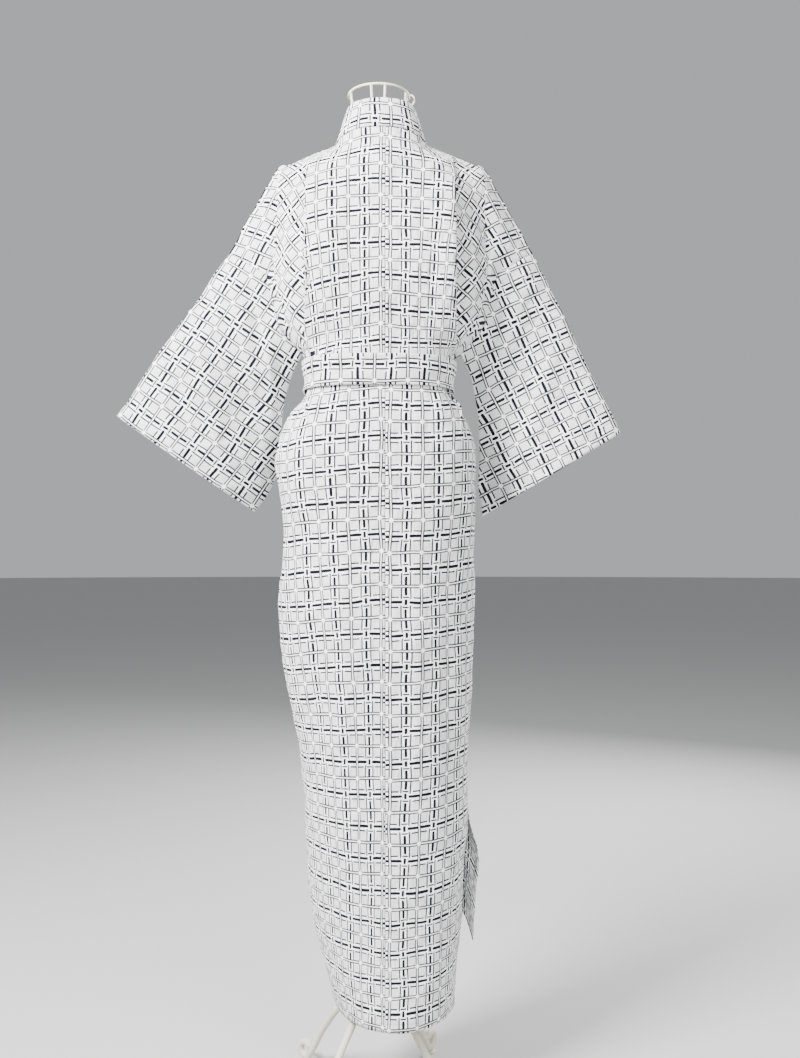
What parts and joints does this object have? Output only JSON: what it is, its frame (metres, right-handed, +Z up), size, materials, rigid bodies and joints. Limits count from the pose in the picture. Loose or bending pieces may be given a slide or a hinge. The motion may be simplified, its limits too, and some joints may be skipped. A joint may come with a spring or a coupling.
{
  "type": "cotton yukata robe on a wire dress form stand",
  "caption": "Checked cotton yukata robe with straight tube sleeves, standing collar and narrow tied belt, hollow, worn by a limbless wire dress form on four scroll feet.",
  "frame": {"origin": "on the floor, under the middle of the object's bounding box", "axes": "+Z up; the robe's back faces +Y and its front -Y; the wearer's left is +X"},
  "size_m": [0.8096, 0.3124, 1.6017],
  "materials": {
    "cotton": "plain-woven cotton, white ground with a dark grey lattice check",
    "belt_cotton": "the same checked cotton, doubled",
    "enamel": "aged cream enamel on steel wire and rod"
  },
  "bodies": {
    "root": {"body_left": "cotton", "body_right": "cotton", "okumi_left": "cotton", "okumi_right": "cotton", "sleeve_left": "cotton", "sleeve_right": "cotton", "collar": "cotton", "belt": "belt_cotton", "belt_knot": "belt_cotton", "belt_end_left": "belt_cotton", "belt_end_right": "belt_cotton", "neck_ring": "enamel", "hook": "enamel", "rib_1": "enamel", "rib_2": "enamel", "rib_3": "enamel", "rib_4": "enamel", "rib_5": "enamel", "rib_6": "enamel", "rib_7": "enamel", "rib_8": "enamel", "hoop_chest": "enamel", "hoop_waist": "enamel", "hoop_hip": "enamel", "spoke_1": "enamel", "spoke_2": "enamel", "spoke_3": "enamel", "spoke_4": "enamel", "pole": "enamel", "hub": "enamel", "leg_1": "enamel", "leg_2": "enamel", "leg_3": "enamel", "leg_4": "enamel", "pad_1": "enamel", "pad_2": "enamel", "pad_3": "enamel", "pad_4": "enamel"}
  },
  "joints": []
}
